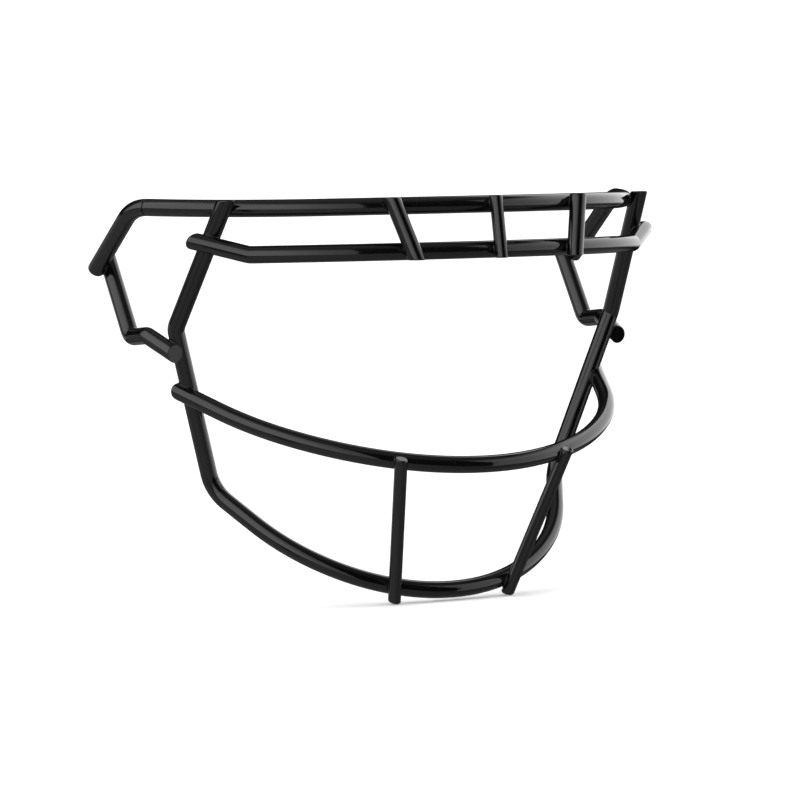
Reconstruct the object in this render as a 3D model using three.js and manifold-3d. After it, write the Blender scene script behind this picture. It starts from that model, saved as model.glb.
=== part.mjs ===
// A face guard for an american football helmet: bent round wires, welded where they cross.
//
// Millimetres. +X is the wearer's left, +Y runs from the face to the back of the head, +Z is up.
// Wires are laid out from the middle of the brow bar, and the finished guard is then moved so that
// the origin is at the bottom centre of its bounding box. The guard is mirror-symmetric about X = 0,
// so only the left half of each wire is described.

import * as THREE from "three";
import { mergeVertices } from "three/addons/utils/BufferGeometryUtils.js";
import Module from "manifold-3d";

const wasm = await Module();
wasm.setup();

// Wire diameters, with the coating.
const MAIN_WIRE = 6.5;
const SIDE_STRUT_WIRE = 6.2;
const THIN_WIRE = 4.9;

// Driving sizes of the guard, all between wire axes.
const HALF_WIDTH = 110;
const SIDE_LOOP_HALF_WIDTH = 104.3;
const EYE_DROP = 16.8;
const MOUTH_DROP = 96.9;
const CHIN_DROP = 145.4;
const TEMPLE_BACK = 73.9;
const WING_BACK = 102.7;
const WING_DROP = 22.4;

// The uprights and upper struts are cut level with the top of the brow bar, and the upper struts also
// with the bottom of the eye bar.
const FLUSH_TOP = MAIN_WIRE / 2;
const FLUSH_BOTTOM = -EYE_DROP - MAIN_WIRE / 2;
const RUN_PAST_CUT = 6;

// The free ends of the eye bar and the middle bar face back, turned outwards and upwards. The feet of
// the side loops face forward, turned inwards and downwards.
const EYE_END_OUTWARD = THREE.MathUtils.degToRad(11);
const EYE_END_UP = THREE.MathUtils.degToRad(24);
const MOUTH_END_OUTWARD = 0;
const MOUTH_END_UP = THREE.MathUtils.degToRad(10);
const LOOP_END_INWARD = THREE.MathUtils.degToRad(5);
const LOOP_END_DOWN = THREE.MathUtils.degToRad(6);

// Welds. Parts that are cut to one another keep a gap, and a weld bead reaches a little further.
const GAP = 0.3;
const WELD_REACH = 1.1;
const WELD_ZONE = 24;
const SMALLEST_FEATURE = 0.03;
const SAME_POINT = 0.001;

// Facets. Each wire has twice this number of sides.
const HALF_SIDES = 8;
const ARC_STEP = THREE.MathUtils.degToRad(8);

const LEFT = 1;
const RIGHT = -1;
const SIDES = [[LEFT, "left"], [RIGHT, "right"]];
const UP = new THREE.Vector3(0, 0, 1);
const DOWN = new THREE.Vector3(0, 0, -1);

// ---- Wire centre lines ----

// A corner of a bent wire: where the straight runs would meet, and the radius of the bend there.
function corner(x, y, z, bend = 0) {
  return { at: new THREE.Vector3(x, y, z), bend };
}

function mirrored({ at, bend }) {
  return corner(-at.x, at.y, at.z, bend);
}

function onSide(corners, side) {
  return side === LEFT ? corners : corners.map(mirrored);
}

// The whole wire from its left half, which is listed from the middle outwards.
function bothHalves(leftHalf) {
  return [...leftHalf.map(mirrored).reverse(), ...leftHalf];
}

function pointAlong(from, to, distance) {
  const direction = to.clone().sub(from).normalize();
  return from.clone().addScaledVector(direction, distance);
}

// The wire carried on past its last corner, to be trimmed there by an angled cut.
function extended(corners, distance) {
  const last = corners[corners.length - 1].at;
  const before = corners[corners.length - 2].at;
  const tip = pointAlong(last, before, -distance);
  return [...corners.slice(0, -1), corner(tip.x, tip.y, tip.z)];
}

// Points and directions along the arc that rounds off one corner.
function bendStations(before, { at, bend }, after) {
  const incoming = at.clone().sub(before).normalize();
  const outgoing = after.clone().sub(at).normalize();
  const turn = incoming.angleTo(outgoing);
  const setback = bend * Math.tan(turn / 2);
  const axis = incoming.clone().cross(outgoing).normalize();
  const start = at.clone().addScaledVector(incoming, -setback);
  const centre = start.clone().addScaledVector(axis.clone().cross(incoming), bend);
  const steps = Math.max(2, Math.ceil(turn / ARC_STEP));
  const stations = [];
  for (let step = 0; step <= steps; step += 1) {
    const angle = (turn * step) / steps;
    const point = start.clone().sub(centre).applyAxisAngle(axis, angle).add(centre);
    const tangent = incoming.clone().applyAxisAngle(axis, angle);
    stations.push({ point, tangent });
  }
  return stations;
}

// A centre line that three.js can extrude along: straight runs joined by circular bends.
// Its stations fall on the bends, so a straight run stays one long facet.
class BentWire extends THREE.Curve {
  constructor(corners) {
    super();
    const points = corners.map(({ at }) => at);
    const first = points[0];
    const last = points[points.length - 1];
    const firstRun = points[1].clone().sub(first).normalize();
    const lastRun = last.clone().sub(points[points.length - 2]).normalize();
    this.stations = [{ point: first, tangent: firstRun }];
    for (let i = 1; i < points.length - 1; i += 1) {
      this.stations.push(...bendStations(points[i - 1], corners[i], points[i + 1]));
    }
    this.stations.push({ point: last, tangent: lastRun });
  }

  stationAt(share) {
    return this.stations[Math.round(share * (this.stations.length - 1))];
  }

  getPointAt(share) {
    return this.stationAt(share).point.clone();
  }

  getTangentAt(share) {
    return this.stationAt(share).tangent.clone();
  }
}

// ---- Solids ----

function toSolid(geometry) {
  const bare = geometry.clone();
  bare.deleteAttribute("normal");
  bare.deleteAttribute("uv");
  const closed = mergeVertices(bare, SAME_POINT);
  return new wasm.Manifold(new wasm.Mesh({
    numProp: 3,
    vertProperties: new Float32Array(closed.attributes.position.array),
    triVerts: new Uint32Array(closed.index.array),
  }));
}

function toGeometry(solid) {
  const { vertProperties, triVerts } = solid.getMesh();
  const geometry = new THREE.BufferGeometry();
  geometry.setAttribute("position", new THREE.BufferAttribute(vertProperties, 3));
  geometry.setIndex(new THREE.BufferAttribute(triVerts, 1));
  geometry.computeVertexNormals();
  return geometry;
}

// Cuts away everything beyond a plane. The normal points at the side that is cut away.
function trim(solid, { point, normal }) {
  const waste = new THREE.BoxGeometry(WELD_ZONE, WELD_ZONE, WELD_ZONE);
  const turn = new THREE.Quaternion().setFromUnitVectors(UP, normal);
  const centre = point.clone().addScaledVector(normal, WELD_ZONE / 2);
  waste.applyMatrix4(new THREE.Matrix4().compose(centre, turn, new THREE.Vector3(1, 1, 1)));
  return solid.subtract(toSolid(waste));
}

// A wire as a solid, or with grow > 0 the space within that distance of its surface.
function wireSolid({ line, diameter, cuts }, grow = 0) {
  const section = new THREE.Shape().absarc(0, 0, diameter / 2 + grow, 0, Math.PI * 2);
  const geometry = new THREE.ExtrudeGeometry(section, {
    curveSegments: HALF_SIDES,
    steps: line.stations.length - 1,
    extrudePath: line,
  });
  return cuts.reduce(trim, toSolid(geometry));
}

function largestPiece(solid) {
  return solid.decompose().reduce((largest, piece) => (piece.volume() > largest.volume() ? piece : largest));
}

// Curved faces that almost touch leave slivers and specks along a cut. They are smoothed away here,
// once at full precision and once more after the vertices are rounded to 32-bit numbers.
function cleaned(solid) {
  const smooth = largestPiece(solid.simplify(SMALLEST_FEATURE));
  return largestPiece(toSolid(toGeometry(smooth)));
}

// ---- The wires ----

function wire(name, diameter, corners, cuts = []) {
  return { name, diameter, cuts, line: new BentWire(corners) };
}

function flushTopCut(x, y) {
  return { point: new THREE.Vector3(x, y, FLUSH_TOP), normal: UP };
}

// A straight wire from top to foot, with the ways that its two cut ends face.
function strut(name, diameter, [top, foot], [topFacing, footFacing]) {
  const pastTop = pointAlong(top, foot, -RUN_PAST_CUT);
  const pastFoot = pointAlong(foot, top, -RUN_PAST_CUT);
  return wire(name, diameter, [corner(...pastTop), corner(...pastFoot)], [
    { point: top, normal: topFacing },
    { point: foot, normal: footFacing },
  ]);
}

// The same angled cut at both ends of a wire that runs from side to side.
function endCuts({ at }, outward, up) {
  return SIDES.map(([side]) => ({
    point: new THREE.Vector3(side * at.x, at.y, at.z),
    normal: new THREE.Vector3(side * Math.tan(outward), 1, Math.tan(up)).normalize(),
  }));
}

// Front span around the brow, a bend at each temple, and wings that run back and down.
function browBar() {
  return wire("brow_bar", MAIN_WIRE, bothHalves([
    corner(35.2, 0, 0, 118),
    corner(HALF_WIDTH - 16.4, 35.7, 0, 107),
    corner(HALF_WIDTH - 0.3, TEMPLE_BACK, 1.4, 15.6),
    corner(HALF_WIDTH, WING_BACK, -WING_DROP),
  ]));
}

// One wire: down the left upright, around the chin and up the right upright.
function frameWire() {
  const top = corner(93.5, 33.6, FLUSH_TOP);
  const half = [
    corner(29.5, 29.4, -CHIN_DROP, 80),
    corner(62.8, 50, 19.2 - CHIN_DROP, 66),
    corner(78.3, 73.1, 39.5 - CHIN_DROP, 13.8),
    corner(99.4, 62, -44, 6.8),
    top,
  ];
  const cuts = SIDES.map(([side]) => flushTopCut(side * top.at.x, top.at.y));
  return wire("frame_wire", MAIN_WIRE, bothHalves(extended(half, RUN_PAST_CUT)), cuts);
}

// Crosses below the brow bar. Its ends turn out and up past the uprights.
function eyeBar() {
  const end = corner(102, 43.1, 5.4 - EYE_DROP);
  const half = [
    corner(51, -2.3, -EYE_DROP, 122),
    corner(86.6, 29.2, -EYE_DROP, 6.3),
    end,
  ];
  const cuts = endCuts(end, EYE_END_OUTWARD, EYE_END_UP);
  return wire("eye_bar", MAIN_WIRE, bothHalves(extended(half, RUN_PAST_CUT)), cuts);
}

// Bows forward across the mouth. Its ends rise past the outside of the uprights.
function middleBar() {
  const end = corner(95.3, 68, 29.3 - MOUTH_DROP);
  const half = [
    corner(41.8, 3.8, -MOUTH_DROP, 102),
    corner(82, 39.5, 16.7 - MOUTH_DROP, 73),
    end,
  ];
  const cuts = endCuts(end, MOUTH_END_OUTWARD, MOUTH_END_UP);
  return wire("middle_bar", MAIN_WIRE, bothHalves(extended(half, RUN_PAST_CUT)), cuts);
}

// Stands in front of the middle of both upper bars.
function upperStrutCentre() {
  const top = new THREE.Vector3(0, -4.8, FLUSH_TOP);
  const foot = new THREE.Vector3(0, -8, FLUSH_BOTTOM);
  return strut("upper_strut_centre", THIN_WIRE, [top, foot], [UP, DOWN]);
}

function upperStrut(side, sideName) {
  const top = new THREE.Vector3(side * 41.9, 1.5, FLUSH_TOP);
  const foot = new THREE.Vector3(side * 35.4, -4.8, FLUSH_BOTTOM);
  return strut(`upper_strut_${sideName}`, SIDE_STRUT_WIRE, [top, foot], [UP, DOWN]);
}

// Stands on the chin loop and ends on the front of the middle bar. Its ends are cut square to its lean.
function lowerStrut(side, sideName) {
  const top = new THREE.Vector3(side * 37.4, 5.4, 3.7 - MOUTH_DROP);
  const foot = new THREE.Vector3(side * 25.7, 30.2, -3.1 - CHIN_DROP);
  const lean = new THREE.Vector3(0, foot.y - top.y, foot.z - top.z).normalize();
  return strut(`lower_strut_${sideName}`, THIN_WIRE, [top, foot], [lean.clone().negate(), lean]);
}

// Hangs from the inside of the wing, turns forward, and stops on the outside of the upright.
function sideLoop(side, sideName) {
  const foot = corner(101.1, 60, -53.3);
  const corners = [
    corner(SIDE_LOOP_HALF_WIDTH, 103.5, -17.7),
    corner(SIDE_LOOP_HALF_WIDTH, 86.7, -47.4, 4.3),
    corner(SIDE_LOOP_HALF_WIDTH - 0.2, 75, -46.6, 3.4),
    foot,
  ];
  const facing = new THREE.Vector3(-side * Math.tan(LOOP_END_INWARD), -1, -Math.tan(LOOP_END_DOWN));
  return wire(`side_loop_${sideName}`, MAIN_WIRE, onSide(extended(corners, RUN_PAST_CUT), side),
    [{ point: onSide([foot], side)[0].at, normal: facing.normalize() }]);
}

// ---- Crossings and welds ----

// Points about a millimetre apart along one side of a wire.
function pointsAlong(line, side) {
  const points = [];
  for (let i = 0; i < line.stations.length - 1; i += 1) {
    const a = line.stations[i].point;
    const b = line.stations[i + 1].point;
    const count = Math.ceil(a.distanceTo(b));
    for (let step = 0; step <= count; step += 1) {
      points.push(a.clone().lerp(b, step / count));
    }
  }
  return points.filter(({ x }) => x * side >= 0);
}

// The point between two wires where they come closest, on one side of the guard.
function meetingPoint(one, other, side) {
  let best = { distance: Infinity };
  for (const p of pointsAlong(one.line, side)) {
    for (const q of pointsAlong(other.line, side)) {
      const distance = p.distanceTo(q);
      if (distance < best.distance) {
        best = { distance, point: p.clone().lerp(q, 0.5) };
      }
    }
  }
  return best.point;
}

// A bead of weld metal all round the line where two wires meet, clear of both of them.
function weldBead(inner, outer, side) {
  const zone = new THREE.BoxGeometry(WELD_ZONE, WELD_ZONE, WELD_ZONE);
  zone.translate(...meetingPoint(inner, outer, side).toArray());
  return wireSolid(inner, WELD_REACH)
    .intersect(toSolid(zone))
    .intersect(wireSolid(outer, WELD_REACH))
    .subtract(wireSolid(inner, GAP))
    .subtract(wireSolid(outer, GAP));
}

// ---- Assembly ----

function coatedSteel() {
  return new THREE.MeshStandardMaterial({ color: 0x0c0c0d, roughness: 0.22, metalness: 0.1 });
}

function faceGuardPieces() {
  const brow = browBar();
  const frame = frameWire();
  const eye = eyeBar();
  const middle = middleBar();
  const centreStrut = upperStrutCentre();

  // Each crossing: the weld's name, the wire that stays whole, the wire set into it, and the side.
  const crossings = [
    ["weld_brow_strut_centre", brow, centreStrut, 0],
    ["weld_eye_strut_centre", eye, centreStrut, 0],
  ];
  const wires = [brow, frame, eye, middle, centreStrut];
  for (const [side, sideName] of SIDES) {
    const upper = upperStrut(side, sideName);
    const lower = lowerStrut(side, sideName);
    const loop = sideLoop(side, sideName);
    wires.push(upper, lower, loop);
    crossings.push(
      [`weld_brow_upright_${sideName}`, brow, frame, side],
      [`weld_eye_upright_${sideName}`, frame, eye, side],
      [`weld_middle_upright_${sideName}`, frame, middle, side],
      [`weld_brow_strut_${sideName}`, brow, upper, side],
      [`weld_eye_strut_${sideName}`, eye, upper, side],
      [`weld_middle_strut_${sideName}`, middle, lower, side],
      [`weld_chin_strut_${sideName}`, frame, lower, side],
      [`weld_wing_loop_${sideName}`, brow, loop, side],
      [`weld_upright_loop_${sideName}`, frame, loop, side],
    );
  }

  const pieces = wires.map((piece) => {
    const seats = crossings.filter(([, , outer]) => outer === piece);
    const cutters = seats.map(([, inner]) => wireSolid(inner, GAP));
    const notched = cutters.reduce((solid, cutter) => solid.subtract(cutter), wireSolid(piece));
    return { name: piece.name, solid: notched };
  });
  for (const [name, inner, outer, side] of crossings) {
    pieces.push({ name, solid: weldBead(inner, outer, side) });
  }
  return pieces;
}

// Moves every piece so that the origin is at the bottom centre of the guard's bounding box.
function standOnOrigin(pieces) {
  const box = new THREE.Box3();
  for (const { solid } of pieces) {
    const { min, max } = solid.boundingBox();
    box.expandByPoint(new THREE.Vector3(...min));
    box.expandByPoint(new THREE.Vector3(...max));
  }
  const centre = box.getCenter(new THREE.Vector3());
  return pieces.map(({ name, solid }) => ({
    name,
    solid: solid.translate([-centre.x, -centre.y, -box.min.z]),
  }));
}

function assembly() {
  const group = new THREE.Group();
  for (const { name, solid } of standOnOrigin(faceGuardPieces())) {
    const mesh = new THREE.Mesh(toGeometry(cleaned(solid)), coatedSteel());
    mesh.name = name;
    group.add(mesh);
  }
  return group;
}

export default assembly();
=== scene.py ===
import math

import bmesh
import bpy
import numpy as np
from mathutils import Matrix, Quaternion, Vector


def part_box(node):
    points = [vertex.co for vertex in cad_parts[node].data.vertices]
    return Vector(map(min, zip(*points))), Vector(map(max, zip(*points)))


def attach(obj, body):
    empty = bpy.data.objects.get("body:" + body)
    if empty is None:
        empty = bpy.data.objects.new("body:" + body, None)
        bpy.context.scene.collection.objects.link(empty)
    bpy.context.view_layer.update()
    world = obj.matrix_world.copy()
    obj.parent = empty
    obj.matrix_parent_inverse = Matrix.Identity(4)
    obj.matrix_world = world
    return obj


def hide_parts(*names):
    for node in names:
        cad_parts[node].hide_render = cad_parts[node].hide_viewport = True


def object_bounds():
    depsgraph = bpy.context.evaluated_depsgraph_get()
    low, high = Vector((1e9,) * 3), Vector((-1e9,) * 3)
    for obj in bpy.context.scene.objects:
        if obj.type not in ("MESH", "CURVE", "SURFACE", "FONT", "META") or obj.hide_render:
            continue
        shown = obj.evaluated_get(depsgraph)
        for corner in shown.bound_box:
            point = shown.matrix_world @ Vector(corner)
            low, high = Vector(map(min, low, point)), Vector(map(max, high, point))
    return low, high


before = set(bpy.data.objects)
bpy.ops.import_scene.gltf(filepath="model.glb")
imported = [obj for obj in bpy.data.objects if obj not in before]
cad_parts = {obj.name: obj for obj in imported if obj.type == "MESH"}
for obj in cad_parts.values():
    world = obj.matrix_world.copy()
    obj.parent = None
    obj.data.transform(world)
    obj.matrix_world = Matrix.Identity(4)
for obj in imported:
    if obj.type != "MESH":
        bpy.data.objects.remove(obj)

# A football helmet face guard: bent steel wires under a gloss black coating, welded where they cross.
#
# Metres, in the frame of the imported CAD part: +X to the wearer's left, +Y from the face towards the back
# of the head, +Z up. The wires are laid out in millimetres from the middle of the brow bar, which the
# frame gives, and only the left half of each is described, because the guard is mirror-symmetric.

CAD_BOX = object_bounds()
MM = 0.001

# ---- Driving sizes ----

# The wires, with their coating.
MAIN_RADIUS = 6.5 * MM / 2
SIDE_STRUT_RADIUS = 6.2 * MM / 2
THIN_RADIUS = 4.9 * MM / 2


def low(node):
    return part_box(node)[0]


def high(node):
    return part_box(node)[1]


# The layout starts at the middle of the brow bar. The upper struts are cut flush with its top.
FLUSH_LEVEL = high("upper_strut_centre").z
LAYOUT_ORIGIN = Vector((0, low("brow_bar").y + MAIN_RADIUS, FLUSH_LEVEL - MAIN_RADIUS))


def drop(node):
    """How far the lowest wire axis of a CAD node lies below the brow bar, in millimetres."""
    return (LAYOUT_ORIGIN.z - low(node).z - MAIN_RADIUS) / MM


EYE_DROP = drop("eye_bar")
MOUTH_DROP = drop("middle_bar")
CHIN_DROP = drop("frame_wire")
HALF_WIDTH = (high("brow_bar").x - MAIN_RADIUS) / MM
LOOP_HALF_WIDTH = (high("side_loop_left").x - MAIN_RADIUS) / MM
FLUSH_TOP = MAIN_RADIUS / MM
FLUSH_BOTTOM = -EYE_DROP - MAIN_RADIUS / MM

# Free ends: how far each is rounded at its rim, and which way the slanting ones face.
RIM = 0.55
WING_RIM = 0.8
LOOP_RIM = 0.15
EYE_END_OUTWARD = math.radians(11)
EYE_END_UP = math.radians(24)
MOUTH_END_UP = math.radians(10)
LOOP_END_INWARD = math.radians(5)
LOOP_END_DOWN = math.radians(6)

# A fine seam runs round the brow bar where each temple bend begins: a slot with a small chamfer at its lips.
SEAM_DEPTH = 0.5 * MM
SEAM_HALF_WIDTH = 0.25 * MM
SEAM_LIP = 0.05 * MM

# Mesh density. The flat of an end face has two rings, given as shares of its radius. Plain rings keep clear
# of the rounded ends, and a seam takes the place of the ring that is there.
SIDES_OF_WIRE = 48
BEND_STEP = math.radians(2.5)
FEWEST_BEND_STEPS = 3
LONGEST_RUN = 3 * MM
RIM_STEPS = 6
FLAT_RINGS = (0.93, 0.5)
END_CLEARANCE = 0.5 * MM
SAME_PLACE = 0.03 * MM

# A wire that starts steeper than this has its first ring laid out from +Y, and any other from straight up.
STEEP = 0.9
BACKWARDS = Vector((0, 1, 0))

# The coating fills the corner at each weld with a small fillet. Its edges sink a little way into the wires,
# and its keel is further in, out of sight.
FILLET = 0.22 * MM
FILLET_STEPS = 6
WELD_STEPS = 96
SINK = 0.03 * MM
KEEL = 0.25 * MM

# A wire end this near a weld trims it, and centre lines carry on this far past their ends for measuring.
TRIM_REACH = 12 * MM
RUN_ON = 12 * MM

# The search for the ball that rolls round a weld.
BALL_ROUNDS = 30
BALL_LONGEST_STEP = 1 * MM
BALL_TOLERANCE = 1e-6 * MM

# The coating. Its two blacks are blended, and its haze runs between two shares of the roughness.
DEEPER_BLACK = (0.0012, 0.0012, 0.0013, 1)
PALER_BLACK = (0.0024, 0.0024, 0.0026, 1)
WIRE_ROUGHNESS = 0.06
WELD_ROUGHNESS = 0.30
LEAST_HAZE = 0.7
MOST_HAZE = 1.6
RUBBED_ROUGHNESS = 0.12
PEEL_STRENGTH = 0.035
PEEL_HEIGHT = 0.1 * MM

# The studio, in metres. The backdrop curves up from the back of the floor.
FLOOR_HALF_WIDTH = 3.0
FLOOR_FRONT = -3.0
FLOOR_BACK = 2.0
BACKDROP_CURVE = 1.0
BACKDROP_HEIGHT = 3.0
BACKDROP_STEPS = 16
PALE_GREY = (0.9, 0.9, 0.9, 1)
WHITE = (1, 1, 1, 1)
WALL_DISTANCE = 4.0
WALL_COLUMNS = 32
WALL_ROWS = 16

# A wall's own coordinates run from 0 to 1 along it and up it. Its edges are listed as the part of those that
# changes across the edge, its value there and the way inwards: start, end, bottom and top.
WALL_PLACES = "share"
WALL_EDGES = (("X", 0, 1), ("X", 1, -1), ("Y", 0, 1), ("Y", 1, -1))

# Light levels: the backdrop as the camera sees it, what lights the floor, and the room in the reflections,
# whose ground goes from the wearer's right to left, and its ceiling from low to overhead.
BACKDROP_LEVEL = 1.1
FLOOR_LIGHT_LEVEL = 1.5
GROUND_LEVELS = (0.5, 0.24)
CEILING_LEVELS = (0.015, 0.3)

# The camera: its angles in radians, its distance and its shifts to the right and up from the middle of the
# brow bar in metres, and its sensor and lens in millimetres.
VIEW_AZIMUTH = math.radians(-33.0)
VIEW_ELEVATION = math.radians(2.80)
VIEW_ROLL = -0.02
VIEW_DISTANCE = 1.7033
VIEW_RIGHT = -34.35 * MM
VIEW_UP = -72.17 * MM
SENSOR = 36.0
LENS = 206.5
CLIP_START = 0.05

LEFT = 1
RIGHT = -1
SIDES = ((LEFT, "left"), (RIGHT, "right"))
UP = Vector((0, 0, 1))
DOWN = Vector((0, 0, -1))


# ---- Wire centre lines ----

def corner(x, y, z, bend=0.0):
    """A corner of a bent wire in layout millimetres, and the radius of the bend there."""
    return LAYOUT_ORIGIN + Vector((x, y, z)) * MM, bend * MM


def mirrored(point):
    return Vector((-point.x, point.y, point.z))


def on_side(corners, side):
    if side == LEFT:
        return corners
    return [(mirrored(at), bend) for at, bend in corners]


def both_halves(left_half):
    """The whole wire from its left half, which is listed from the middle outwards."""
    return on_side(left_half, RIGHT)[::-1] + left_half


def bend_stations(before, at, bend, after):
    """Points and directions along the arc that rounds off one corner."""
    incoming = (at - before).normalized()
    outgoing = (after - at).normalized()
    turn = incoming.angle(outgoing)
    axis = incoming.cross(outgoing).normalized()
    start = at - incoming * bend * math.tan(turn / 2)
    centre = start + axis.cross(incoming) * bend
    steps = max(FEWEST_BEND_STEPS, math.ceil(turn / BEND_STEP))
    stations = []
    for step in range(steps + 1):
        spin = Quaternion(axis, turn * step / steps)
        stations.append((centre + spin @ (start - centre), spin @ incoming))
    return stations


def run_stations(start, end):
    """Points between two stations, so that no facet of a straight run is long."""
    (a, direction), (b, _) = start, end
    pieces = math.ceil((b - a).length / LONGEST_RUN)
    return [(a.lerp(b, step / pieces), direction) for step in range(1, pieces)]


def centre_line(corners):
    points = [at for at, _ in corners]
    key = [(points[0], (points[1] - points[0]).normalized())]
    for i in range(1, len(points) - 1):
        key += bend_stations(points[i - 1], points[i], corners[i][1], points[i + 1])
    key.append((points[-1], (points[-1] - points[-2]).normalized()))
    stations = [key[0]]
    for start, end in zip(key, key[1:]):
        stations += run_stations(start, end)
        stations.append(end)
    return stations


class Wire:
    """A bent round wire. A cut is the way that an end face looks, or None for a square end.

    Stations are points and directions along the centre line. Ends hold the tip, the way out along the wire
    and the way the face looks. Seams are the points where a fine slot runs round the wire.
    """

    def __init__(self, node, radius, corners, cuts=(None, None), rim=RIM, seams=()):
        self.node = node
        self.radius = radius
        self.rim = rim * MM
        self.seams = seams
        self.stations = centre_line(corners)
        (first, first_way), (last, last_way) = self.stations[0], self.stations[-1]
        self.ends = [
            (first, -first_way, (cuts[0] or -first_way).normalized()),
            (last, last_way, (cuts[1] or last_way).normalized()),
        ]


# ---- The wires ----

def slant(side, outward, up):
    return Vector((side * math.tan(outward), 1, math.tan(up)))


def brow_bar():
    """Front span around the brow, a bend at each temple, and wings that run back and down."""
    half = [
        corner(35.2, 0, 0, 118),
        corner(HALF_WIDTH - 16.4, 35.7, 0, 107),
        corner(HALF_WIDTH - 0.3, 73.9, 1.4, 15.6),
        corner(HALF_WIDTH, 102.7, -22.4),
    ]
    (before, _), (temple, bend), (after, _) = half[1:]
    seam = bend_stations(before, temple, bend, after)[0][0]
    return Wire("brow_bar", MAIN_RADIUS, both_halves(half), rim=WING_RIM, seams=(seam, mirrored(seam)))


def frame_wire():
    """One wire: down the left upright, around the chin and up the right upright."""
    return Wire("frame_wire", MAIN_RADIUS, both_halves([
        corner(29.5, 29.4, -CHIN_DROP, 80),
        corner(62.8, 50, 19.2 - CHIN_DROP, 66),
        corner(78.3, 73.1, 39.5 - CHIN_DROP, 13.8),
        corner(99.4, 62, -44, 6.8),
        corner(93.5, 33.6, FLUSH_TOP),
    ]), cuts=(UP, UP))


def eye_bar():
    """Crosses below the brow bar. Its ends turn out and up past the uprights."""
    return Wire("eye_bar", MAIN_RADIUS, both_halves([
        corner(51, -2.3, -EYE_DROP, 122),
        corner(86.6, 29.2, -EYE_DROP, 6.3),
        corner(102, 43.1, 5.4 - EYE_DROP),
    ]), cuts=[slant(side, EYE_END_OUTWARD, EYE_END_UP) for side in (RIGHT, LEFT)])


def middle_bar():
    """Bows forward across the mouth. Its ends rise past the outside of the uprights."""
    return Wire("middle_bar", MAIN_RADIUS, both_halves([
        corner(41.8, 3.8, -MOUTH_DROP, 102),
        corner(82, 39.5, 16.7 - MOUTH_DROP, 73),
        corner(95.3, 68, 29.3 - MOUTH_DROP),
    ]), cuts=[slant(side, 0, MOUTH_END_UP) for side in (RIGHT, LEFT)])


def upper_strut_centre():
    """Stands in front of the middle of both upper bars, cut level with them."""
    return Wire("upper_strut_centre", THIN_RADIUS, [
        corner(0, -8, FLUSH_BOTTOM),
        corner(0, -4.8, FLUSH_TOP),
    ], cuts=(DOWN, UP))


def upper_strut(side, side_name):
    return Wire(f"upper_strut_{side_name}", SIDE_STRUT_RADIUS, on_side([
        corner(35.4, -4.8, FLUSH_BOTTOM),
        corner(41.9, 1.5, FLUSH_TOP),
    ], side), cuts=(DOWN, UP))


def lower_strut(side, side_name):
    """From the front of the middle bar to the chin loop, its ends cut square to its lean from the side."""
    top = corner(37.4, 5.4, 3.7 - MOUTH_DROP)
    foot = corner(25.7, 30.2, -3.1 - CHIN_DROP)
    lean = (foot[0] - top[0]) * Vector((0, 1, 1))
    return Wire(f"lower_strut_{side_name}", THIN_RADIUS, on_side([top, foot], side), cuts=(-lean, lean))


def side_loop(side, side_name):
    """Hangs from the inside of the wing, turns forward, and stops on the outside of the upright."""
    facing = Vector((-side * math.tan(LOOP_END_INWARD), -1, -math.tan(LOOP_END_DOWN)))
    return Wire(f"side_loop_{side_name}", MAIN_RADIUS, on_side([
        corner(LOOP_HALF_WIDTH, 103.5, -17.7),
        corner(LOOP_HALF_WIDTH, 86.7, -47.4, 4.3),
        corner(LOOP_HALF_WIDTH - 0.2, 75, -46.6, 3.4),
        corner(101.1, 60, -53.3),
    ], side), cuts=(None, facing), rim=LOOP_RIM)


# ---- Meshes ----

def new_object(name, vertices, faces):
    mesh = bpy.data.meshes.new(name)
    mesh.from_pydata(vertices, [], faces)
    mesh.validate()
    mesh.shade_smooth()
    body = bpy.data.objects.new(name, mesh)
    bpy.context.scene.collection.objects.link(body)
    return body


def grid_faces(rows, size, rows_closed=False, across_closed=True):
    """Quads that join rows of equally many vertices. Either way, the last can be joined to the first."""
    faces = []
    for row in range(rows if rows_closed else rows - 1):
        here = row * size
        following = (row + 1) % rows * size
        for i in range(size if across_closed else size - 1):
            j = (i + 1) % size
            faces.append((here + i, here + j, following + j, following + i))
    return faces


def point_normals_outwards(body):
    shape = bmesh.new()
    shape.from_mesh(body.data)
    bmesh.ops.recalc_face_normals(shape, faces=shape.faces)
    shape.to_mesh(body.data)
    shape.free()


def across(direction, previous=None):
    """A direction square to the wire, turned as little as possible from the one before it."""
    if previous is None:
        previous = UP if abs(direction.z) < STEEP else BACKWARDS
    return (previous - direction * previous.dot(direction)).normalized()


def circle(radius, side_way, up_way):
    turns = [2 * math.pi * i / SIDES_OF_WIRE for i in range(SIDES_OF_WIRE)]
    return [(side_way * math.cos(t) + up_way * math.sin(t)) * radius for t in turns]


def end_rings(wire, end, side_way, up_way):
    """Rings that round the rim of a free end and carry on to the middle of its flat face."""
    tip, outward, facing = end
    flat = wire.radius - wire.rim
    profile = []
    for step in range(RIM_STEPS + 1):
        angle = math.pi / 2 * step / RIM_STEPS
        profile.append((flat + wire.rim * math.cos(angle), wire.rim * (math.sin(angle) - 1)))
    profile += [(flat * share, 0) for share in FLAT_RINGS]
    rings = []
    for radius, advance in profile:
        ring = []
        for spoke in circle(radius, side_way, up_way):
            slide = -spoke.dot(facing) / outward.dot(facing)
            ring.append(tip + spoke + outward * (slide + advance))
        rings.append(ring)
    return rings


def reach_of_end(wire, end):
    """How far back from its tip an end's slanting, rounded face reaches along the wire."""
    _, outward, facing = end
    return wire.radius * math.tan(outward.angle(facing)) + wire.rim


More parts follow.
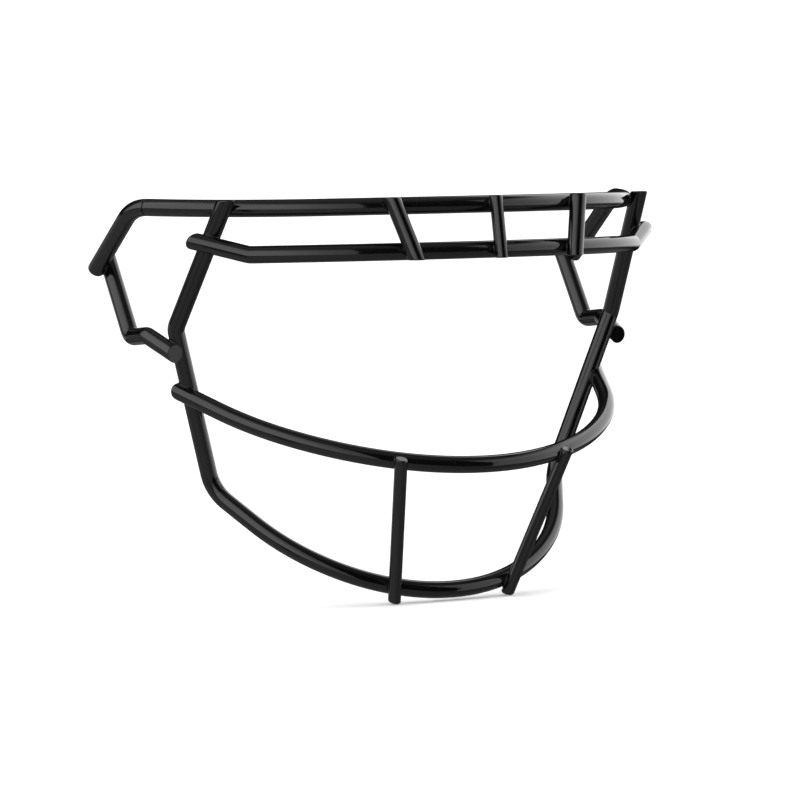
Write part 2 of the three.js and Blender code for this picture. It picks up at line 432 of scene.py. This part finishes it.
def seam_profile():
    """A narrow slot, as distances along the wire and depths below its surface."""
    near_side = [
        (-SEAM_HALF_WIDTH - SEAM_LIP, 0),
        (-SEAM_HALF_WIDTH, SEAM_LIP),
        (-SEAM_HALF_WIDTH + SEAM_LIP, SEAM_DEPTH),
    ]
    return near_side + [(-advance, depth) for advance, depth in near_side[::-1]]


def clear_of_ends(wire, point):
    return all((point - end[0]).length > reach_of_end(wire, end) + END_CLEARANCE for end in wire.ends)


def wire_rings(wire):
    """Rings of vertices along the wire, from the middle of one end face to the middle of the other."""
    rings = []
    side_way = None
    last = len(wire.stations) - 1
    for i, (point, direction) in enumerate(wire.stations):
        side_way = across(direction, side_way)
        up_way = direction.cross(side_way)
        if i == 0:
            rings += end_rings(wire, wire.ends[0], side_way, up_way)[::-1]
        elif i == last:
            rings += end_rings(wire, wire.ends[1], side_way, up_way)
        elif any((point - seam).length < SAME_PLACE for seam in wire.seams):
            for advance, depth in seam_profile():
                middle = point + direction * advance
                rings.append([middle + spoke for spoke in circle(wire.radius - depth, side_way, up_way)])
        elif clear_of_ends(wire, point):
            rings.append([point + spoke for spoke in circle(wire.radius, side_way, up_way)])
    return rings


def tube(wire, name):
    """The wire as a closed mesh, with rounded rims on its two cut faces."""
    rings = wire_rings(wire)
    vertices = [vertex for ring in rings for vertex in ring]
    faces = grid_faces(len(rings), SIDES_OF_WIRE)
    last_ring = len(vertices) - SIDES_OF_WIRE
    for ring_start, end in zip((0, last_ring), wire.ends):
        vertices.append(end[0])
        for i in range(SIDES_OF_WIRE):
            faces.append((ring_start + i, ring_start + (i + 1) % SIDES_OF_WIRE, len(vertices) - 1))
    body = new_object(name, vertices, faces)
    point_normals_outwards(body)
    return body


# ---- Welds ----

class Axis:
    """A wire's centre line, carried on past both ends, for measuring distances to it."""

    def __init__(self, wire):
        before, after = (tip + outward * RUN_ON for tip, outward, _ in wire.ends)
        points = [before] + [point for point, _ in wire.stations] + [after]
        joints = np.array(points)
        self.starts = joints[:-1]
        self.runs = joints[1:] - joints[:-1]
        self.squares = (self.runs ** 2).sum(axis=1)

    def nearest(self, point):
        """The nearest point of the axis, and how far it is."""
        share = ((point - self.starts) * self.runs).sum(axis=1) / self.squares
        on_axis = self.starts + self.runs * np.clip(share, 0, 1)[:, None]
        gaps = np.linalg.norm(on_axis - point, axis=1)
        best = int(gaps.argmin())
        return on_axis[best], gaps[best]

    def away(self, point):
        """The distance from the axis, and the direction straight away from it."""
        on_axis, gap = self.nearest(point)
        return gap, (point - on_axis) / gap


def unit(vector):
    return vector / np.linalg.norm(vector)


def crossing(one, other, side):
    """The nearest points of two wires on one side of the guard, and the first wire's direction."""
    other_axis = Axis(other)
    best_gap = math.inf
    for point, direction in one.stations:
        if point.x * side < 0:
            continue
        on_other, gap = other_axis.nearest(np.array(point))
        if gap < best_gap:
            best_gap = gap
            best = (np.array(point), on_other, np.array(direction))
    return best


def rolling_ball(axes, radii, middle, way, normal, guess):
    """Where a ball that touches both wires sits, in one direction away from the crossing.

    The place is how far out and how far up from the middle it is, and the search starts from a guess at it.
    """
    out, rise = guess
    for _ in range(BALL_ROUNDS):
        ball = middle + way * out + normal * rise
        (gap_a, away_a), (gap_b, away_b) = (axis.away(ball) for axis in axes)
        errors = np.array([gap_a - radii[0] - FILLET, gap_b - radii[1] - FILLET])
        slopes = np.array([
            [away_a @ way, away_a @ normal],
            [away_b @ way, away_b @ normal],
        ])
        change = np.linalg.solve(slopes, errors)
        longest = np.abs(change).max()
        if longest > BALL_LONGEST_STEP:
            change *= BALL_LONGEST_STEP / longest
        out, rise = out - change[0], rise - change[1]
        if np.abs(errors).max() < BALL_TOLERANCE:
            break
    return (out, rise), ball, away_a, away_b


def fillet_section(ball, away_a, away_b):
    """The closed outline of the fillet at one place: an arc of the ball, and a keel inside the wires."""
    half = math.acos(float(np.clip(away_a @ away_b, -1, 1))) / 2
    inwards = -unit(away_a + away_b)
    sideways = unit(away_a - away_b)
    outline = []
    for step in range(FILLET_STEPS + 1):
        angle = half * (2 * step / FILLET_STEPS - 1)
        outline.append(ball + (inwards * math.cos(angle) + sideways * math.sin(angle)) * FILLET)
    outline[0] = outline[0] - away_a * SINK
    outline[-1] = outline[-1] - away_b * SINK
    outline.append(ball + inwards * (FILLET / math.cos(half) + KEEL))
    return outline


def trim_to_ends(body, ends):
    """Cuts off what stands past the planes of the wires' end faces, and closes the cuts."""
    shape = bmesh.new()
    shape.from_mesh(body.data)
    for tip, _, facing in ends:
        cut = bmesh.ops.bisect_plane(
            shape,
            geom=shape.verts[:] + shape.edges[:] + shape.faces[:],
            plane_co=tip,
            plane_no=facing,
            clear_outer=True,
        )
        edges = [part for part in cut["geom_cut"] if isinstance(part, bmesh.types.BMEdge)]
        bmesh.ops.holes_fill(shape, edges=edges)
    bmesh.ops.recalc_face_normals(shape, faces=shape.faces)
    shape.to_mesh(body.data)
    shape.free()
    body.data.shade_smooth()


def weld(name, one, other, side):
    """A ring of coating that fills the corner all round the line where two wires meet."""
    axes = (Axis(one), Axis(other))
    radii = (one.radius, other.radius)
    on_one, on_other, direction = crossing(one, other, side)
    gap = np.linalg.norm(on_other - on_one)
    normal = (on_other - on_one) / gap
    along = unit(direction - normal * (direction @ normal))
    beside = np.cross(normal, along)
    middle = on_one + normal * (radii[0] + gap - radii[1]) / 2
    guess = (radii[1], 0.0)
    vertices = []
    for step in range(WELD_STEPS):
        turn = 2 * math.pi * step / WELD_STEPS
        way = along * math.cos(turn) + beside * math.sin(turn)
        guess, ball, away_one, away_other = rolling_ball(axes, radii, middle, way, normal, guess)
        vertices += fillet_section(ball, away_one, away_other)
    outline_size = FILLET_STEPS + 2
    faces = grid_faces(WELD_STEPS, outline_size, rows_closed=True)
    body = new_object(name, [Vector(v) for v in vertices], faces)
    ends = one.ends + other.ends
    trim_to_ends(body, [end for end in ends if (end[0] - Vector(middle)).length < TRIM_REACH])
    return body


# ---- Materials ----

class Graph:
    """Adds nodes to a material or a world. Values are output sockets or plain numbers."""

    def __init__(self, owner):
        owner.use_nodes = True
        self.nodes = owner.node_tree.nodes
        self.links = owner.node_tree.links

    def connect(self, value, socket):
        if isinstance(value, bpy.types.NodeSocket):
            self.links.new(value, socket)
        else:
            socket.default_value = value

    def noise(self, place, scale, detail):
        texture = self.nodes.new("ShaderNodeTexNoise")
        texture.inputs["Scale"].default_value = scale
        texture.inputs["Detail"].default_value = detail
        self.links.new(place, texture.inputs["Vector"])
        return texture.outputs["Fac"]

    def ramp(self, source, from_range, to_range, interpolation="SMOOTHSTEP"):
        mapping = self.nodes.new("ShaderNodeMapRange")
        mapping.interpolation_type = interpolation
        mapping.inputs["From Min"].default_value, mapping.inputs["From Max"].default_value = from_range
        mapping.inputs["To Min"].default_value, mapping.inputs["To Max"].default_value = to_range
        self.links.new(source, mapping.inputs["Value"])
        return mapping.outputs["Result"]

    def calculate(self, operation, first, second):
        result = self.nodes.new("ShaderNodeMath")
        result.operation = operation
        self.connect(first, result.inputs[0])
        self.connect(second, result.inputs[1])
        return result.outputs["Value"]

    def blend(self, factor, first, second):
        mix = self.nodes.new("ShaderNodeMix")
        self.connect(factor, mix.inputs["Factor"])
        self.connect(first, mix.inputs["A"])
        self.connect(second, mix.inputs["B"])
        return mix.outputs["Result"]

    def parts(self, vector):
        """The X, Y and Z parts of a vector."""
        separate = self.nodes.new("ShaderNodeSeparateXYZ")
        self.links.new(vector, separate.inputs["Vector"])
        return separate.outputs


def gloss_black(name, roughness):
    """Black dipped coating: deep black, mirror-like, with faint orange peel, haze and small rubbed spots."""
    material = bpy.data.materials.new(name)
    graph = Graph(material)
    surface = graph.nodes["Principled BSDF"]
    place = graph.nodes.new("ShaderNodeTexCoord").outputs["Object"]

    tone = graph.nodes.new("ShaderNodeMix")
    tone.data_type = "RGBA"
    tone.inputs["A"].default_value = DEEPER_BLACK
    tone.inputs["B"].default_value = PALER_BLACK
    graph.connect(graph.noise(place, scale=90, detail=3), tone.inputs["Factor"])
    graph.connect(tone.outputs["Result"], surface.inputs["Base Color"])

    # Haze comes and goes along the wires, and a few small rubbed spots are duller.
    haze = graph.ramp(
        graph.noise(place, scale=55, detail=4),
        from_range=(0.35, 0.7),
        to_range=(roughness * LEAST_HAZE, roughness * MOST_HAZE),
        interpolation="LINEAR",
    )
    rubbed = graph.ramp(
        graph.noise(place, scale=420, detail=5),
        from_range=(0.66, 0.74),
        to_range=(0.0, RUBBED_ROUGHNESS),
        interpolation="LINEAR",
    )
    graph.connect(graph.calculate("ADD", haze, rubbed), surface.inputs["Roughness"])

    peel = graph.nodes.new("ShaderNodeBump")
    peel.inputs["Strength"].default_value = PEEL_STRENGTH
    peel.inputs["Distance"].default_value = PEEL_HEIGHT
    graph.connect(graph.noise(place, scale=700, detail=2), peel.inputs["Height"])
    graph.connect(peel.outputs["Normal"], surface.inputs["Normal"])
    return material


def pale_paper(name):
    """The floor's surface: pale grey, and quite without shine."""
    material = bpy.data.materials.new(name)
    surface = Graph(material).nodes["Principled BSDF"]
    surface.inputs["Base Color"].default_value = PALE_GREY
    surface.inputs["Roughness"].default_value = 1.0
    surface.inputs["Specular IOR Level"].default_value = 0.0
    return material


def soft_light(name, level, fades):
    """The light of a wall, rising to its full level from each edge."""
    material = bpy.data.materials.new(name)
    graph = Graph(material)
    graph.nodes.remove(graph.nodes["Principled BSDF"])
    place = graph.nodes.new("ShaderNodeUVMap")
    place.uv_map = WALL_PLACES
    parts = graph.parts(place.outputs["UV"])
    rises = []
    for (part, edge, inwards), (share, edge_level) in zip(WALL_EDGES, fades):
        rises.append(graph.ramp(parts[part], (edge, edge + inwards * share), (edge_level, 1)))
    strength = rises[0]
    for rise in rises[1:]:
        strength = graph.calculate("MULTIPLY", strength, rise)
    strength = graph.calculate("MULTIPLY", strength, level)
    glow = graph.nodes.new("ShaderNodeEmission")
    graph.connect(strength, glow.inputs["Strength"])
    graph.connect(glow.outputs["Emission"], graph.nodes["Material Output"].inputs["Surface"])
    return material


# ---- The guard ----

def dress(body, node, material):
    """Gives a piece its material and its slot, and puts it in the place of a CAD node."""
    body.data.materials.append(material)
    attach(body, "root")
    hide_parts(node)


def build_guard():
    """All the wires, and a weld at each place where two of them cross. Middle welds have side 0."""
    coating = gloss_black("gloss_coating", WIRE_ROUGHNESS)
    weld_coating = gloss_black("weld_coating", WELD_ROUGHNESS)
    brow = brow_bar()
    chin = frame_wire()
    eye = eye_bar()
    middle = middle_bar()
    centre = upper_strut_centre()
    wires = [brow, chin, eye, middle, centre]
    crossings = [
        ("weld_brow_strut_centre", brow, centre, 0),
        ("weld_eye_strut_centre", eye, centre, 0),
    ]
    for side, side_name in SIDES:
        upper = upper_strut(side, side_name)
        lower = lower_strut(side, side_name)
        loop = side_loop(side, side_name)
        wires += [upper, lower, loop]
        crossings += [
            (f"weld_brow_upright_{side_name}", brow, chin, side),
            (f"weld_eye_upright_{side_name}", chin, eye, side),
            (f"weld_middle_upright_{side_name}", chin, middle, side),
            (f"weld_brow_strut_{side_name}", brow, upper, side),
            (f"weld_eye_strut_{side_name}", eye, upper, side),
            (f"weld_middle_strut_{side_name}", middle, lower, side),
            (f"weld_chin_strut_{side_name}", chin, lower, side),
            (f"weld_wing_loop_{side_name}", brow, loop, side),
            (f"weld_upright_loop_{side_name}", chin, loop, side),
        ]
    for wire in wires:
        dress(tube(wire, f"coated_{wire.node}"), wire.node, coating)
    for node, one, other, side in crossings:
        dress(weld(f"coated_{node}", one, other, side), node, weld_coating)


# ---- Studio ----

def build_floor():
    """A pale floor that curves up into a backdrop behind the guard."""
    profile = [(FLOOR_FRONT, 0.0), (FLOOR_BACK, 0.0)]
    for step in range(1, BACKDROP_STEPS + 1):
        angle = math.pi / 2 * step / BACKDROP_STEPS
        along = FLOOR_BACK + BACKDROP_CURVE * math.sin(angle)
        profile.append((along, BACKDROP_CURVE * (1 - math.cos(angle))))
    profile.append((FLOOR_BACK + BACKDROP_CURVE, BACKDROP_HEIGHT))
    turn = Matrix.Rotation(VIEW_AZIMUTH, 3, "Z")
    vertices = []
    for along, rise in profile:
        for side in (RIGHT, LEFT):
            vertices.append(turn @ Vector((side * FLOOR_HALF_WIDTH, along, rise)))
    floor = new_object("pale_floor", vertices, grid_faces(len(profile), 2, across_closed=False))
    floor.data.materials.append(pale_paper("pale_floor"))
    floor.visible_glossy = False


def build_world():
    """Even white light for the floor, and a dim room for what the coating reflects."""
    world = bpy.data.worlds.new("studio")
    bpy.context.scene.world = world
    graph = Graph(world)
    parts = graph.parts(graph.nodes.new("ShaderNodeTexCoord").outputs["Generated"])
    ground = graph.ramp(parts["X"], from_range=(-0.8, 0.8), to_range=GROUND_LEVELS)
    ceiling = graph.ramp(parts["Z"], from_range=(0.5, 1.0), to_range=CEILING_LEVELS)
    above_ground = graph.ramp(parts["Z"], from_range=(-0.42, -0.25), to_range=(0.0, 1.0))
    room = graph.blend(above_ground, ground, ceiling)
    rays = graph.nodes.new("ShaderNodeLightPath")
    unreflected = graph.blend(rays.outputs["Is Camera Ray"], FLOOR_LIGHT_LEVEL, BACKDROP_LEVEL)
    level = graph.blend(rays.outputs["Is Glossy Ray"], unreflected, room)
    graph.nodes["Background"].inputs["Color"].default_value = WHITE
    graph.connect(level, graph.nodes["Background"].inputs["Strength"])


def towards(azimuth, elevation):
    """The way to a place in the studio. Azimuth 0 is in front of the guard, and positive to the left."""
    return Vector((
        math.sin(azimuth) * math.cos(elevation),
        -math.cos(azimuth) * math.cos(elevation),
        math.sin(elevation),
    ))


def between(pair, share):
    return pair[0] + (pair[1] - pair[0]) * share


def light_wall(name, azimuths, bottoms, tops, level, fades, distance=WALL_DISTANCE):
    """A curved soft light wall round the guard, seen only in reflections.

    Angles are in degrees, and bottoms and tops are elevations at the two azimuths. Fades are listed for the
    wall's start, end, bottom and top: the share of the wall over which its light rises, and where it starts.
    """
    middle = (CAD_BOX[0] + CAD_BOX[1]) / 2
    vertices = []
    places = []
    for column in range(WALL_COLUMNS + 1):
        u = column / WALL_COLUMNS
        azimuth = between(azimuths, u)
        ends = (between(bottoms, u), between(tops, u))
        for row in range(WALL_ROWS + 1):
            v = row / WALL_ROWS
            way = towards(math.radians(azimuth), math.radians(between(ends, v)))
            vertices.append(middle + way * distance)
            places.append((u, v))
    faces = grid_faces(WALL_COLUMNS + 1, WALL_ROWS + 1, across_closed=False)
    wall = new_object(name, vertices, faces)
    layer = wall.data.uv_layers.new(name=WALL_PLACES)
    for loop in wall.data.loops:
        layer.data[loop.index].uv = places[loop.vertex_index]
    wall.data.materials.append(soft_light(name, level, fades))
    wall.visible_camera = False
    wall.visible_diffuse = False
    wall.visible_shadow = False


def build_walls():
    """Large lights at both sides, a dim one low on the right, and one behind the guard."""
    light_wall(
        "right_wall",
        azimuths=(-15, -142),
        bottoms=(-24, 3),
        tops=(56, 80),
        level=2.0,
        fades=((0.28, 0.45), (0.2, 0.3), (0.07, 0.0), (0.35, 0.2)),
    )
    light_wall(
        "left_wall",
        azimuths=(35, 140),
        bottoms=(-31, -8),
        tops=(50, 58),
        level=2.0,
        fades=((0.5, 0.5), (0.1, 0.0), (0.15, 0.0), (0.2, 0.0)),
    )
    light_wall(
        "right_ground",
        azimuths=(-60, -170),
        bottoms=(-40, -40),
        tops=(-10, 8),
        level=0.45,
        fades=((0.1, 0.0), (0.2, 0.0), (0.1, 0.8), (0.1, 0.0)),
        distance=1.1 * WALL_DISTANCE,
    )
    light_wall(
        "back_wall",
        azimuths=(165, 215),
        bottoms=(-20, -20),
        tops=(12, 12),
        level=0.65,
        fades=((0.1, 0.0), (0.1, 0.0), (0.3, 0.0), (0.3, 0.0)),
    )


# ---- Camera ----

def build_camera():
    """Looks from the wearer's right front, a little above the guard."""
    back = towards(VIEW_AZIMUTH, VIEW_ELEVATION)
    right = Vector((math.cos(VIEW_AZIMUTH), math.sin(VIEW_AZIMUTH), 0))
    above = back.cross(right)
    rolled_right = right * math.cos(VIEW_ROLL) + above * math.sin(VIEW_ROLL)
    rolled_up = back.cross(rolled_right)
    place = LAYOUT_ORIGIN + back * VIEW_DISTANCE + right * VIEW_RIGHT + above * VIEW_UP
    turn = Matrix((rolled_right, rolled_up, back)).transposed()
    lens = bpy.data.cameras.new("camera")
    lens.sensor_width = SENSOR
    lens.lens = LENS
    lens.clip_start = CLIP_START
    camera = bpy.data.objects.new("camera", lens)
    camera.matrix_world = Matrix.Translation(place) @ turn.to_4x4()
    bpy.context.scene.collection.objects.link(camera)
    bpy.context.scene.camera = camera


def build_studio():
    bpy.context.scene.view_settings.view_transform = "Standard"
    build_floor()
    build_world()
    build_walls()
    build_camera()


build_guard()
build_studio()
